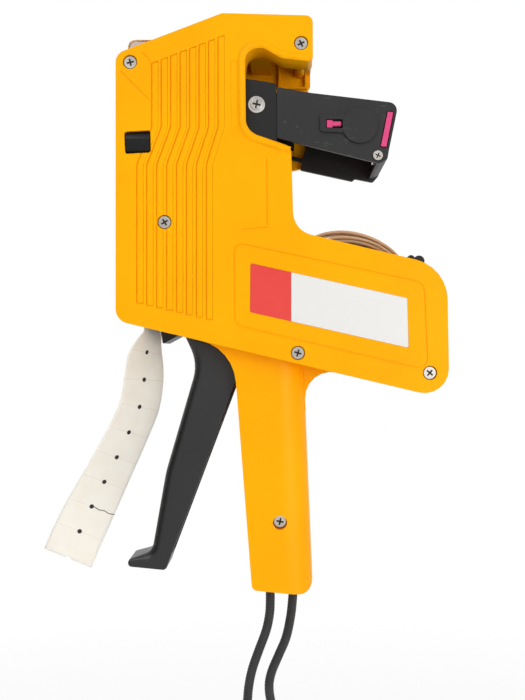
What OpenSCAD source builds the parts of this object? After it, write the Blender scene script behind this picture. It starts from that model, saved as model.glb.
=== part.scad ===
// Hand-held price labeller: two casing halves, a trigger, a rocking print head and a label feed.
// X runs towards the label roll, Y from the near side to the far side and Z up. The origin is the middle of the grip.

/* [Casing] */
// Thickness of the body across both halves
body_t = 48; // [44:0.5:56]
// Thickness of the handle across both halves
handle_t = 34; // [30:0.5:38]
// Wall of both casing halves
wall = 2.4; // [1.8:0.1:3]
// Height of the flat top above the grip centre
top_z = 194.2; // [190:0.2:204]
// Foot of the handle below the grip centre
foot_z = -45.7; // [-60:0.1:-44]
// Front face of the body, left of the grip centre
front_x = -69.5; // [-74:0.1:-69.5]
// Rear end of the roll housing
rear_x = 67.5; // [67:0.1:76]
// Fall of the underside and of the roll housing, in degrees
fall = 13.35; // [12:0.05:15]
// Depth of the ribs and panel lines
line_d = 0.5; // [0.3:0.1:0.8]

/* [Screws] */
// Shank diameter of the casing screws
screw_d = 2.9; // [2.5:0.1:3.5]
// Head diameter of the casing screws
screw_head_d = 5; // [4.6:0.1:6.2]
// Depth of the heads under the casing face
screw_sink = 0.8; // [0.5:0.1:1.4]

/* [Labels] */
// Width of the label web
label_w = 22; // [18:0.5:24]
// Pitch of the labels and of the feed pins
label_pitch = 12; // [11:0.1:12.4]
// Diameter of the label roll
roll_d = 49; // [36:0.5:50]
// Diameter of the spool in the roll
spool_d = 24; // [16:0.5:28]
// Thickness of the web solid
web_t = 0.3; // [0.2:0.05:0.4]

/* [Mechanism] */
// Diameter of the trigger, arm and feed pins
pin_d = 4; // [3:0.1:4.4]
// Radial running clearance on the pins
run = 0.05; // [0.03:0.01:0.08]
// Width of the trigger
trigger_w = 20; // [16:0.5:21]
// Travel of the trigger, in degrees
trigger_travel = 18; // [12:0.5:18]
// Crank radius of the pull rod at the trigger
crank_r = 9; // [8:0.1:10]
// Teeth on a full turn of the trigger's sector
sector_teeth = 40; // [40:1:40]
// Teeth on the feed pinion
pinion_teeth = 12; // [12:1:12]
// Gear module
gear_m = 1; // [1:0.01:1]

/* [Print head] */
// Width of the print head across its side plates
head_w = 41; // [38:0.5:42]
// Thickness of the side plates
plate_t = 2; // [1.5:0.1:2.4]
// Number of print bands
bands = 8; // [6:1:8]
// Width of one print band
band_w = 2.1; // [1.6:0.1:2.2]

/* [Cord] */
// Diameter of the wrist cord
cord_d = 4; // [3:0.1:4.4]

/* [Hidden] */
$fn = 64;

head_y = head_w / 2;
head_room = 1.1;
half = max(body_t / 2, head_y + head_room + wall);
inner = half - wall;
grip = handle_t / 2;
pin_r = pin_d / 2;

function unit(v) = v / norm(v);
function xz(p) = [p[0], p[1]];
function polar(c, r, a) = c + r * [cos(a), sin(a)];
function turned(p, c, a) = c + [(p - c)[0] * cos(a) - (p - c)[1] * sin(a), (p - c)[0] * sin(a) + (p - c)[1] * cos(a)];

// One corner [x, z, radius] of an outline, as its arc
function corner(a, b, c, n) = b[2] == 0 ? [xz(b)] :
    let (u = unit(xz(a) - xz(b)), v = unit(xz(c) - xz(b)), h = acos(u * v) / 2,
        m = xz(b) + unit(u + v) * b[2] / sin(h), s = xz(b) + u * b[2] / tan(h) - m, e = xz(b) + v * b[2] / tan(h) - m,
        a0 = atan2(s[1], s[0]), da = (atan2(e[1], e[0]) - a0 + 540) % 360 - 180)
    [for (i = [0:n]) m + b[2] * [cos(a0 + da * i / n), sin(a0 + da * i / n)]];
function rounded(p, n = 6) = [for (i = [0:len(p) - 1])
    each corner(p[(i + len(p) - 1) % len(p)], p[i], p[(i + 1) % len(p)], n)];
function open_path(p, n = 6) = [xz(p[0]), for (i = [1:len(p) - 2]) each corner(p[i - 1], p[i], p[i + 1], n), xz(p[len(p) - 1])];
// A clockwise outline of corners, moved inwards by d
function inset(p, d) = [for (i = [0:len(p) - 1])
    let (a = xz(p[(i + len(p) - 1) % len(p)]), b = xz(p[i]), c = xz(p[(i + 1) % len(p)]), e = unit(b - a), f = unit(c - b),
        m = [e[1], -e[0]], k = [f[1], -f[0]], q = b + d * (m + k) / (1 + m * k), out = e[0] * f[1] - e[1] * f[0] > 0)
    [q[0], q[1], p[i][2] == 0 ? 0 : max(p[i][2] + (out ? d : -d), 0.3)]];
// A ribbon of thickness t along an open path
function ribbon(p, t) = let (n = len(p) - 1, k = [for (i = [0:n])
    let (d = unit(p[min(i + 1, n)] - p[max(i - 1, 0)])) [-d[1], d[0]] * t / 2])
    concat([for (i = [0:n]) p[i] + k[i]], [for (i = [n:-1:0]) p[i] - k[i]]);

module plate(points, y0, y1) translate([0, y1, 0]) rotate([90, 0, 0]) linear_extrude(y1 - y0) polygon(points);
module rod(c, r, y0, y1) translate([c[0], y1, c[1]]) rotate([90, 0, 0]) cylinder(r = r, h = y1 - y0);
module block(x0, x1, y0, y1, z0, z1) translate([x0, y0, z0]) cube([x1 - x0, y1 - y0, z1 - z0]);
module both() { children(); mirror([0, 1, 0]) children(); }
module ring(c, r1, r0, y0, y1) difference() { rod(c, r1, y0, y1); rod(c, r0, y0 - 1, y1 + 1); }

// Places in the side view
slope = tan(fall);
under = function(x) 68.1 - (x + 69.6) * slope;
screws = [[front_x + 5.9, 174.2], [6.6, 182], [-49.5, 108.5], [5.3, 54.8], [rear_x - 8, 46.6]];
grip_screw = [-2.1, -16.2];
grip_sink = 3;
trigger_c = [-30.5, 71];
arm_c = [-4.5, 112.5];
sector_r = gear_m * sector_teeth / 2;
pinion_r = gear_m * pinion_teeth / 2;
mesh_a = 154.7;
feed_c = polar(trigger_c, sector_r + pinion_r, mesh_a);
feed_pins = 6;
feed_r = label_pitch * feed_pins / 360 * 180 / PI;
roll_r = roll_d / 2;
// The roll keeps its room above the housing's floor
roll_floor = 51.5;
roll_c = [28, roll_floor + roll_r];
guide_c = [-1, 102.5];
guide_r = 3.5;
brake_c = [60, 83];
hinge_c = [front_x + 3.3, 71.8];
latch_c = [-60.5, 141.4];
pawl_c = [-45.5, 98.2];
setting_c = [30.9, 148.8];

// The label web climbs from the guide roller to the nose
nose_z = 187.2;
nose_p = [-54.4, nose_z];
web_d = unit(nose_p - [-4.03, 100.74]);
web_n = [web_d[1], -web_d[0]];
web_0 = guide_c - web_n * (guide_r + 0.35);
web_at = function(t, d) web_0 + web_d * t - web_n * d;
print_p = web_0 + web_d * 68;
arm_travel = trigger_travel * 4 / 9;
face_p = turned(print_p + web_n * 0.45, arm_c, -arm_travel);
face_n = turned(web_n, [0, 0], -arm_travel);
nose_bar = face_p + face_n * 3.8;

body_outline = [[front_x, 177.5, 5], [-25.8, top_z, 3], [11.4, top_z - 1, 3], [11.5, 174.3, 2], [-1.5, 175.8, 8],
    [-9.5, 180.4, 5.5], [-16.4, 178.8, 5], [-16.1, 145.8, 7], [2.5, 139.4, 3.5], [3.6, 105, 9.5],
    [rear_x - 1, 105 - (rear_x - 4.6) * slope, 17], [rear_x, under(rear_x), 10], [front_x, under(front_x), 6]];
front_line = function(z) -20.4 + (41 - z) * 0.0765;
rear_line = function(z) 8.6 + (35.1 - z) * 0.0413;
handle_outline = [[-48, under(-48), 0], [-48, 72, 0], [30, 56, 0], [30, under(30), 0], [rear_line(49.7), under(rear_line(49.7)), 11],
    [rear_line(foot_z - 1), foot_z - 1.2, 5], [front_line(foot_z), foot_z + 1.4, 2.5], [front_line(56.7), under(front_line(56.7)), 19]];

/* Casing */
// The grip, moved inwards by d; its back is round, and a web fills the corner under the housing
module handle_form(d) intersection() {
    plate(rounded(inset(handle_outline, d)), -grip + d, d > 0 ? 1 : 0);
    union() {
        translate([rear_line(0) - d, 0, 0]) rotate([0, -2.37, 0]) translate([0, 0, -80])
            linear_extrude(180) polygon(rounded([[-90, 40, 0], [40, 40, 0], [40, 0, 0], [0, 0, 0], [0, d - grip, 11 - d], [-90, d - grip, 0]]));
        block(-60, 40, -9 + d, 1, 30 + d, 80);
    }
}
module rib_line(points, w, depth) plate(ribbon(points, w), -half - 1, -half + depth);
// A ribbon whose first end slants, its sides d above and below the middle
function slanted(p, d) = [for (i = [0:len(p) - 1]) p[i] + [0, i == 0 ? d : i == len(p) - 1 ? -d : 0]];
// Eight bent ribs, drawn by the grooves between them; they end along the sloping top edge
module ribs() for (i = [0:7]) let (x = -54.8 + i * 3.88, lo = x - 6.1 + i * 0.19)
    difference() {
        plate(slanted(ribbon([[x + 1.35, 174.2 + i * 1.5], [x + 1.35, 147.4], [lo + 1.35, 132], [lo + 1.35, 75 - i * 0.95]], 2.9), 0.5), -half - 1, -half + line_d);
        plate(slanted(ribbon([[x + 1.55, 173.8 + i * 1.5], [x + 1.55, 147.3], [lo + 1.55, 131.9], [lo + 1.55, 75.4 - i * 0.95]], 2.3), 0.4), -half - 2, -half + line_d + 1);
    }
module panel_lines() {
    difference() {
        plate(rounded(panel_outline), -half - 1, -half + line_d * 0.6);
        plate(rounded(inset(panel_outline, 0.5)), -half - 2, -half + 2);
    }
    rib_line([[-67.5, 170.5], [-55, 157.8]], 0.45, line_d * 0.6);
    rib_line([[-58.2, 178], [-55.4, 174.4]], 0.45, line_d * 0.6);
    rib_line([[-7.5, 134.5], [-7.3, 106.3], [-17.5, 105.6]], 0.45, line_d * 0.6);
}
panel_outline = [[-21.2, 100.5, 3.5], [57.2, 83.9, 5], [58.9, 47.4, 4], [-20.8, 66.1, 3.5]];
sticker_outline = [[-14.2, 91.7, 0.8], [50.2, 77.4, 0.8], [50.8, 56.8, 0.8], [-14.4, 71.5, 0.8]];

// The notch keeps a flange along its top, out to the depth given
module shell(flange) difference() {
    union() { plate(rounded(body_outline), -half, 0); handle_form(0); }
    plate(rounded(inset(body_outline, wall)), -inner, 1);
    intersection() {
        handle_form(wall);
        block(-60, 60, -grip, 2, foot_z, under(front_line(50)) - wall - 4);
    }
    // Openings for the cover, the nose, the head, the roll, the strip and the trigger
    block(front_x - 1, front_x + wall + 0.2, -inner + 1, 1, hinge_c[1] - 3.6, 172);
    block(front_x - 1, -43, -label_w / 2 - 1.5, 1, 172, 196);
    block(-22, 13, -inner, 1, 136, 172.5);
    block(-22, 13, flange, 1, 136, 181.2);
    block(4.5, 56, -inner, 1, 82, 118);
    block(50, 66, -7, 1, 79, 118);
    block(-63, -44.6, -label_w / 2 - 1.5, 1, 56, 71);
    rod(hinge_c, 3.5, -inner, 1);
    plate([[-46, 72], [-10, 72], [-7.5, 48], [-9, foot_z + 8], [-30, foot_z + 8], [-52, 48]], -trigger_w / 2 - 1.2, 1);
}
// A boss on the wall, out to y0, with a blind seat for a pin
module boss(c, r, y0, seat_r) difference() {
    rod(c, r, -inner - 0.5, y0);
    rod(c, seat_r, -inner + 0.6, y0 + 1);
}
module pin_bosses() {
    boss(trigger_c, pin_r + 2.2, -trigger_w / 2 - 5, pin_r + 0.02);
    boss(arm_c, pin_r + 1.6, -head_y - 0.4, pin_r + 0.02);
    boss(feed_c, pin_r + 2.2, -15, pin_r + 0.02);
    boss(guide_c, 2.6, -label_w / 2 - 1, 1.52);
    boss(brake_c, 2.6, -7.5, 1.52);
    boss(roll_c, 5.5, -label_w / 2 - 1.5, 2.5 + run);
    boss(hinge_c, 2.6, -inner + 2.6, 1.52);
}
module screw_posts(r) {
    for (c = screws) rod(c, c[1] > 170 ? 2.3 : r, -inner - 0.5, 0);
    rod(grip_screw, r, -grip + wall - 0.5, 0);
}
module seats() {
    for (c = screws) children_at(c, half) children();
    children_at(grip_screw, grip - grip_sink) children();
}
module children_at(c, depth) translate([c[0], -depth, c[1]]) let ($turn = 37 * c[0]) children();

module left_casing() color([1, 0.71, 0.02]) difference() {
    union() {
        shell(-10);
        screw_posts(3.6);
        pin_bosses();
        notch_lip();
        // Box that guides the latch and backs its spring
        for (z = [latch_c[1] - 9.2, latch_c[1] + 7.6]) block(latch_c[0] - 5.4, latch_c[0] + 7, -inner - 0.5, -11.6, z, z + 1.6);
        block(latch_c[0] - 5.4, latch_c[0] + 7, -13, -11.6, latch_c[1] - 9.2, latch_c[1] + 9.2);
    }
    seats() rotate([-90, 0, 0]) { translate([0, 0, -6]) cylinder(d = screw_head_d + 0.9, h = screw_sink + 7.3); cylinder(d = screw_d + 0.5, h = 40); }
    // Window of the latch
    plate(rounded([[latch_c[0] - 5.5, latch_c[1] + 4.2, 1], [latch_c[0] + 5.3, latch_c[1] + 4.8, 1], [latch_c[0] + 5.5, latch_c[1] - 4.4, 1],
        [latch_c[0] - 5.1, latch_c[1] - 5, 1]]), -half - 1, -inner + 0.1);
    ribs();
    panel_lines();
    plate(rounded(sticker_outline), -half - 1, -half + 0.4);
    cord_holes();
    valley();
}
// Raised lip along the edge of the head's notch
lip_path = open_path([[10, 176, 0], [-1.2, 177.3, 8], [-9.3, 182, 6], [-18, 180.2, 6], [-17.7, 144.8, 8], [2, 138, 0]]);
module notch_lip() tube([for (p = lip_path) [p[0], -half + 0.75, p[1]]], 1.55, 12);
// Shallow valley outside the lip
module valley() plate(ribbon(open_path([[-21, 175, 0], [-20.7, 142.9, 9], [-3, 136.8, 0]]), 2.8), -half - 1, -half + 0.3);

module right_casing() color([1, 0.71, 0.02]) difference() {
    mirror([0, 1, 0]) union() {
        shell(-inner);
        // The far wall closes the notch behind the print head
        plate(rounded([[-19, 181, 0], [10.5, 181, 1], [10.5, 160, 2], [10.1, 147.5, 3], [8.6, 138.8, 1.5], [2.6, 137.6, 1], [1, 134, 1], [-19, 134, 0]]), -half, -inner);
        screw_posts(3.6);
        pin_bosses();
        // Pocket walls that show through the notch
        difference() {
            block(-3, 9.8, -inner - 0.5, -inner + 2.5, 174.6, 185.6);
            block(-2.2, 9, -inner - 1, -inner + 3, 175.4, 184.8);
        }
    }
    for (c = concat(screws, [grip_screw])) rod(c, screw_d / 2 + 0.02, -1, 13.4);
    mirror([0, 1, 0]) { ribs(); panel_lines(); }
    mirror([0, 1, 0]) cord_holes();
}

// The head's edge stands screw_sink under the face, and the shank runs into the far half
module casing_screws() color([0.8, 0.79, 0.76]) seats() rotate([-90, 0, 0]) {
    difference() {
        translate([0, 0, screw_sink]) cylinder(d = screw_head_d, h = 1.2);
        for (a = [0, 90]) rotate($turn + a) translate([-1.5, -0.35, screw_sink - 1]) cube([3, 0.7, 1.8]);
    }
    translate([0, 0, screw_sink + 1]) cylinder(d = screw_d, h = 26 - screw_sink);
}

/* Front cover and latch */
module front_cover() color([1, 0.71, 0.02]) {
    y = inner - 1.4;
    difference() {
        union() {
            block(front_x + 0.2, front_x + wall - 0.1, -y, y, hinge_c[1] + 4.5, 171.5);
            block(front_x + 0.2, front_x + wall - 0.1, 1.7 - y, y - 1.7, hinge_c[1], hinge_c[1] + 5);
            rod(hinge_c, 3.1, 1.7 - y, y - 1.7);
            // Hook that the latch holds
            block(front_x + wall - 0.5, front_x + wall + 1.1, -inner + 3.2, -label_w / 2 - 1, latch_c[1] - 1.5, latch_c[1] + 1.5);
        }
        rod(hinge_c, 1.5 + run, -y - 1, y + 1);
        // The strip passes between the two knuckles
        block(front_x + wall - 0.1, hinge_c[0] + 9, -label_w / 2 - 2, label_w / 2 + 2, hinge_c[1] - 5, hinge_c[1] + 5);
    }
}
module hinge_pin() color([0.7, 0.7, 0.7]) rod(hinge_c, 1.5, -inner + 0.7, inner - 0.7);
module cover_latch() color([0.06, 0.06, 0.06]) {
    intersection() {
        plate(rounded([[latch_c[0] - 5.1, latch_c[1] + 3.9, 0.8], [latch_c[0] + 4.9, latch_c[1] + 4.4, 0.8], [latch_c[0] + 5.1, latch_c[1] - 4, 0.8],
            [latch_c[0] - 4.7, latch_c[1] - 4.6, 0.8]]), -half - 1, -inner + 1);
        translate([latch_c[0] - 8, -half + 6.2, latch_c[1]]) rotate([0, 90, 0]) cylinder(r = 6.5, h = 16);
    }
    block(latch_c[0] - 5, latch_c[0] + 6.4, -inner + 0.4, -inner + 2, latch_c[1] - 7, latch_c[1] + 7);
}
// A coil along Y
function coil(at, r, len, turns) = [for (i = [0:turns * 14]) at + [r * cos(i * 360 / 14), len * i / turns / 14, r * sin(i * 360 / 14)]];
latch_wire = 0.35;
latch_path = coil([latch_c[0], -inner + 2.1 + latch_wire, latch_c[1]], 2.6, inner - 15.2 - 2 * latch_wire, 3);
module latch_spring() color([0.7, 0.7, 0.7]) tube(latch_path, latch_wire, 6);
// Least gap of a tube to itself, between points that are over skip steps apart
function least_gap(p, r, skip) = min([for (i = [0:len(p) - 1], j = [i + skip:1:len(p) - 1]) norm(p[i] - p[j])]) - 2 * r;
// A tube of a given radius along 3D points
module tube(p, r, sides) {
    n = len(p) - 1;
    rings = [for (i = [0:n]) let (t = unit(p[min(i + 1, n)] - p[max(i - 1, 0)]), u = unit(cross(t, abs(t[1]) > 0.9 ? [1, 0, 0] : [0, 1, 0])), v = cross(t, u))
        for (k = [0:sides - 1]) p[i] + r * (u * cos(k * 360 / sides) + v * sin(k * 360 / sides))];
    polyhedron(rings, concat([[for (k = [0:sides - 1]) k]], [[for (k = [sides - 1:-1:0]) n * sides + k]],
        [for (i = [0:n - 1], k = [0:sides - 1]) let (a = i * sides + k, b = i * sides + (k + 1) % sides) each [[a, a + sides, b + sides], [a, b + sides, b]]]));
}

/* Nose, platen and web */
nose_outline = [concat(web_at(81, 0.45), 1), concat(nose_p + [-0.1, -0.45] , 2.2), [-64.8, nose_z - 0.4, 1.6], [front_x + 3.5, 184, 1], [front_x + 3.5, 177.6, 0.6],
    [-56.5, 177.6, 1], [-49.5, 170.5, 1]];
module nose_guide() color([0.35, 0.25, 0.2]) {
    plate(rounded([for (i = [len(nose_outline) - 1:-1:0]) nose_outline[i]]), -label_w / 2 + 0.5, label_w / 2 - 0.5);
    block(-57, -51, -inner, inner, 176.8, 179.3);
}
module platen() color([0.12, 0.12, 0.12]) {
    a = web_at(58, 0.4);
    b = web_at(78, 0.4);
    plate([a, b, b - web_n * 3, a - web_n * 3], -label_w / 2 - 0.5, label_w / 2 + 0.5);
    plate([b - web_n * 1, b - web_n * 3, b - web_n * 3 - web_d * 6, b - web_n * 1 - web_d * 6], -inner, inner);
}
// The roll's last turns have sprung open: each is a little wider, more at the top, all bulge towards the guide roller, and the last runs off to it
first_turn = -815;
last_turn = 121;
loose = function(a) let (n = (a - first_turn) / 360, top = pow((1 + sin(a)) / 2, 2), off = pow(max(a - 60, 0) / (last_turn - 60), 1.5))
    polar(roll_c, roll_r + 0.45 + 0.75 * n + 0.9 * n * top + 1.9 * pow(max(cos(a - 125), 0), 6) + 1.5 * off, a);
strip_exit = [-58.9, 68.6];
web_path = concat([for (a = [first_turn:9:last_turn]) loose(a)], [for (a = [-62:-12:-134]) polar(guide_c, guide_r + 0.35, a)],
    open_path([web_0, concat(nose_p, 2.6), [-64.9, nose_z, 1.6], [front_x + 3.1, 184.2, 1.4], concat([feed_c[0] - feed_r - 0.35, feed_c[1]], 0),
    concat([feed_c[0] - feed_r - 0.35, feed_c[1] - feed_r * 0.75], 9), concat(strip_exit, 0)]));
module label_web() color([0.87, 0.84, 0.77]) difference() {
    plate(ribbon(web_path, web_t), -label_w / 2, label_w / 2);
    // Row of holes for the feed pins, as one slot
    block(feed_c[0] - feed_r - 3, feed_c[0], -1.5, 1.5, feed_c[1] - 12, feed_c[1] + 14);
}

/* Backing strip below the body */
strip_route = [[-58.4, 67.9], [-57.6, 63.2], [-59.2, 58], [-60.6, 52], [-61.2, 43], [-63, 32], [-67.8, 20.3], [-74.8, 6], [-80.4, -4.9], [-84.8, -13.6], [-90, -24.4], [-94.3, -34.4]];
strip_turn = [6, 13, 24, 36, 42, 44, 46, 52, 60, 68, 77, 86];
module backing_strip() color([0.92, 0.9, 0.85]) {
    n = len(strip_route) - 1;
    pts = [for (i = [0:n]) let (t = unit(strip_route[min(i + 1, n)] - strip_route[max(i - 1, 0)]), a = strip_turn[i],
        w = [-t[1] * sin(a), cos(a), t[0] * sin(a)] * label_w / 2, k = [t[1] * cos(a), sin(a), -t[0] * cos(a)] * web_t / 2, c = [strip_route[i][0], 0, strip_route[i][1]])
        each [c + w + k, c - w + k, c - w - k, c + w - k]];
    polyhedron(pts, concat([[0, 1, 2, 3], [4 * n + 3, 4 * n + 2, 4 * n + 1, 4 * n]],
        // Both faces of a twisted length are split along the same diagonal
        [for (i = [0:n - 1], j = [0:3]) let (a = 4 * i + j, b = 4 * i + (j + 1) % 4)
            each j < 2 ? [[a, a + 4, b], [b, a + 4, b + 4]] : [[a, a + 4, b + 4], [a, b + 4, b]]]));
}
module strip_guide() color([0.08, 0.08, 0.08]) {
    plate(rounded([[-53.2, 68.5, 0.5], [-45, 66.4, 0.5], [-45.4, 61.9, 0.5], [-51.7, 58.5, 0.5]]), -label_w / 2 - 0.5, label_w / 2 + 0.5);
    block(-53.2, -50, -inner, inner, 67, 69);
}

/* Trigger and feed */
lever_outline = [[-43.5, 64, 0], [-36, 76, 3], [-24, 76, 3], [-19.7, 44.5, 8], [-49, -33, 2], [-50.6, -37.6, 2], [-67.6, -36.1, 1.8], [-66.2, -32.9, 1.5],
    [-56.8, -29.8, 5], [-50.9, 4, 60], [-37.5, 50, 18]];
function share(v) = max(0, min(1, v));
// The lever's front is round for the fingers; the radius fades towards the tip of the foot, the top and the back
lever_round = function(p) 0.8 + 3.2 * share((-29 - 0.301 * (50 - p[1]) - p[0]) / 3) * share((p[0] + 66.5) / 8) * share((66 - p[1]) / 6);
// Triangles that fill a clockwise outline: one ear is cut off at a time
function turn_of(a, b, c) = (b - a)[0] * (c - b)[1] - (b - a)[1] * (c - b)[0];
function is_ear(p, ids, a, b, c) = turn_of(p[a], p[b], p[c]) < 0 && len([for (k = ids) if (k != a && k != b && k != c &&
    turn_of(p[a], p[b], p[k]) <= 0 && turn_of(p[b], p[c], p[k]) <= 0 && turn_of(p[c], p[a], p[k]) <= 0) k]) == 0;
function ears(p, ids) = len(ids) == 3 ? [ids] : let (n = len(ids), i = [for (k = [0:n - 1]) if (is_ear(p, ids, ids[(k + n - 1) % n], ids[k], ids[(k + 1) % n])) k][0])
    concat([[ids[(i + n - 1) % n], ids[i], ids[(i + 1) % n]]], ears(p, [for (k = [0:n - 1]) if (k != i) ids[k]]));
// A plate of width w whose rims are rounded, each point of its outline by its own radius
module soft_plate(p, w, radius, steps = 4) {
    n = len(p);
    in = [for (i = [0:n - 1]) let (d = unit(p[(i + 1) % n] - p[(i + n - 1) % n])) [d[1], -d[0]]];
    near = [for (k = [0:steps], i = [0:n - 1]) let (r = radius(p[i]), t = 90 * k / steps, q = p[i] + in[i] * r * (1 - sin(t))) [q[0], r * (1 - cos(t)) - w / 2, q[1]]];
    far = [for (k = [steps:-1:0], i = [0:n - 1]) let (q = near[k * n + i]) [q[0], -q[1], q[2]]];
    last = (2 * steps + 1) * n;
    side = ears([for (i = [0:n - 1]) [near[i][0], near[i][2]]], [for (i = [0:n - 1]) i]);
    polyhedron(concat(near, far), concat(side, [for (t = side) [last + t[2], last + t[1], last + t[0]]],
        [for (k = [0:2 * steps], i = [0:n - 1]) let (a = k * n + i, b = k * n + (i + 1) % n) each [[a, a + n, b + n], [a, b + n, b]]]));
}
channel_outline = [[-35, 47, 3], [-5, 50, 0], [-5, 40, 0], [-38, -31, 0], [-52.5, -31, 1], [-52, -24, 2], [-47.4, 5, 20]];
crank_a = let (v = arm_c - trigger_c) atan2(v[1], v[0]) + asin(crank_r * 1.25 / norm(v)) + 90;
crank_p = polar(trigger_c, crank_r, crank_a);
tail_p = polar(arm_c, crank_r * 9 / 4, crank_a);
rod_y = trigger_w / 2 + 3.2;
module trigger() color([0.2, 0.2, 0.2]) difference() {
    union() {
        soft_plate(rounded(lever_outline), trigger_w, lever_round);
        rod(trigger_c, 7, -trigger_w / 2, trigger_w / 2);
        // Crank for the pull rod on the far side
        plate(rounded([[crank_p[0] - 3, crank_p[1] + 3, 2.5], [trigger_c[0] + 5, trigger_c[1] + 5, 4], [trigger_c[0] + 5, trigger_c[1] - 5, 4], [crank_p[0] - 3, crank_p[1] - 3, 2.5]]),
            trigger_w / 2 - 1, rod_y - 0.3);
        rod(crank_p, 1.5, trigger_w / 2, rod_y + 3);
    }
    plate(rounded(channel_outline), -trigger_w / 2 + 2.5, trigger_w / 2 - 2.5);
    rod(trigger_c, pin_r + run, -30, 30);
}
module trigger_pin() color([0.7, 0.7, 0.7]) rod(trigger_c, pin_r, -inner + 0.7, inner - 0.7);
// Torsion spring round the boss of the trigger pin, with one leg behind it
torsion_path = concat([for (i = [0:76]) [trigger_c[0] + 5.6 * cos(i * 15 + 205), -trigger_w / 2 - 1.15 - i * 0.05, trigger_c[1] + 5.6 * sin(i * 15 + 205)]],
    [[trigger_c[0] + 9, -trigger_w / 2 - 4.95, trigger_c[1] - 6.2]]);
module trigger_spring() color([0.7, 0.7, 0.7]) tube(torsion_path, 0.35, 6);

// Involute teeth i0 to i1 of a gear, over a body that starts at its root
function inv(rb, r) = let (t = sqrt(max(r * r / (rb * rb) - 1, 0))) (t * 180 / PI - atan(t));
module gear(c, teeth, y0, y1, phase, i0, i1, add) {
    r = gear_m * teeth / 2;
    rb = r * cos(20);
    tip = r + add * gear_m;
    root = r - 1.25 * gear_m;
    thin = 0.14 / r * 180 / PI;
    w = 90 / teeth + inv(rb, r) - thin;
    flank = [for (k = [0:4]) let (q = max(rb, root) + (tip - max(rb, root)) * k / 4) [q, w - inv(rb, q)]];
    for (i = [i0:i1]) let (a = phase + i * 360 / teeth)
        plate(concat([polar(c, root - 0.6, a - flank[0][1])], [for (f = flank) polar(c, f[0], a - f[1])],
            [for (k = [4:-1:0]) polar(c, flank[k][0], a + flank[k][1])], [polar(c, root - 0.6, a + flank[0][1])]), y0, y1);
}
gear_y = -trigger_w / 2 - 0.4;
module trigger_sector() color([0.75, 0.72, 0.6]) difference() {
    union() {
        gear(trigger_c, sector_teeth, gear_y - 3.4, gear_y + 0.4, mesh_a, -3, 1, 0.8);
        plate(concat([for (a = [124:4:168]) polar(trigger_c, sector_r - 1.25, a)], [for (a = [200:-20:80]) polar(trigger_c, 8.4, a)]), gear_y - 3.4, gear_y + 0.4);
        ring(trigger_c, 8.4, 6.8, gear_y - 3.4, gear_y + 0.4);
    }
    rod(trigger_c, 6.8, -40, 0);
}
module feed_shaft() color([0.7, 0.7, 0.7]) rod(feed_c, pin_r, -inner + 0.7, inner - 0.7);
module feed_pinion() color([0.75, 0.72, 0.6]) difference() {
    union() {
        gear(feed_c, pinion_teeth, gear_y - 3.4, gear_y - 0.1, mesh_a + 180 + 15, 0, 11, 0.8);
        rod(feed_c, pinion_r - 1.2, gear_y - 3.4, gear_y - 0.1);
    }
    rod(feed_c, pin_r + run, -40, 0);
}
module feed_wheel() color([0.15, 0.15, 0.15]) difference() {
    w = trigger_w / 2;
    union() {
        ring(feed_c, feed_r - 0.2, feed_r - 2.4, -w + 0.2, w - 0.2);
        rod(feed_c, pin_r + 2, -w + 0.2, w + 3.2);
        for (i = [0:2]) plate([for (s = [-1, 1], e = [0, 1]) let (q = s * (e == 0 ? 1 : -1)) polar(feed_c, 0, 0) + turned([s * (feed_r - 1), q * 1.2], [0, 0], i * 60)], -3, 3);
        // Pins in the strip's holes
        for (i = [0:feed_pins - 1]) translate([feed_c[0], 0, feed_c[1]]) rotate([0, i * 360 / feed_pins + 30, 0]) translate([0, 0, feed_r - 1]) cylinder(d1 = 1.8, d2 = 1.2, h = 1.6);
        // Ratchet
        for (i = [0:11]) plate([polar(feed_c, 4, i * 30 - 14), polar(feed_c, 7, i * 30 - 12), polar(feed_c, 8.6, i * 30 + 14), polar(feed_c, 4, i * 30 + 18)], w + 0.3, w + 3.2);
    }
    rod(feed_c, pin_r + run, -40, 40);
}
pawl_y = trigger_w / 2 + 0.4;
module feed_pawl() color([0.7, 0.7, 0.7]) difference() {
    union() {
        rod(pawl_c, 3, pawl_y, pawl_y + 2.6);
        plate([pawl_c + [-2.6, 0.6], pawl_c + [1.2, -2.4], feed_c + [4.6, 8.6], feed_c + [3, 9.6]], pawl_y, pawl_y + 2.6);
    }
    rod(pawl_c, 1.5 + run, -40, 40);
}
module pawl_pin() color([0.7, 0.7, 0.7]) { rod(pawl_c, 1.5, pawl_y - 0.8, inner - 0.05); rod(pawl_c, 2.6, pawl_y + 3, inner - 0.05); }
module pull_rod() color([0.72, 0.72, 0.72]) difference() {
    union() {
        rod(crank_p, 3.6, rod_y, rod_y + 2.4);
        rod(tail_p, 3.2, rod_y, rod_y + 2.4);
        let (d = unit(tail_p - crank_p), k = [-d[1], d[0]] * 2.4) plate([crank_p + k, tail_p + k, tail_p - k, crank_p - k], rod_y, rod_y + 2.4);
    }
    rod(crank_p, 2.1, 0, 30);
    rod(tail_p, 1.5 + run, 0, 30);
}

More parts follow.
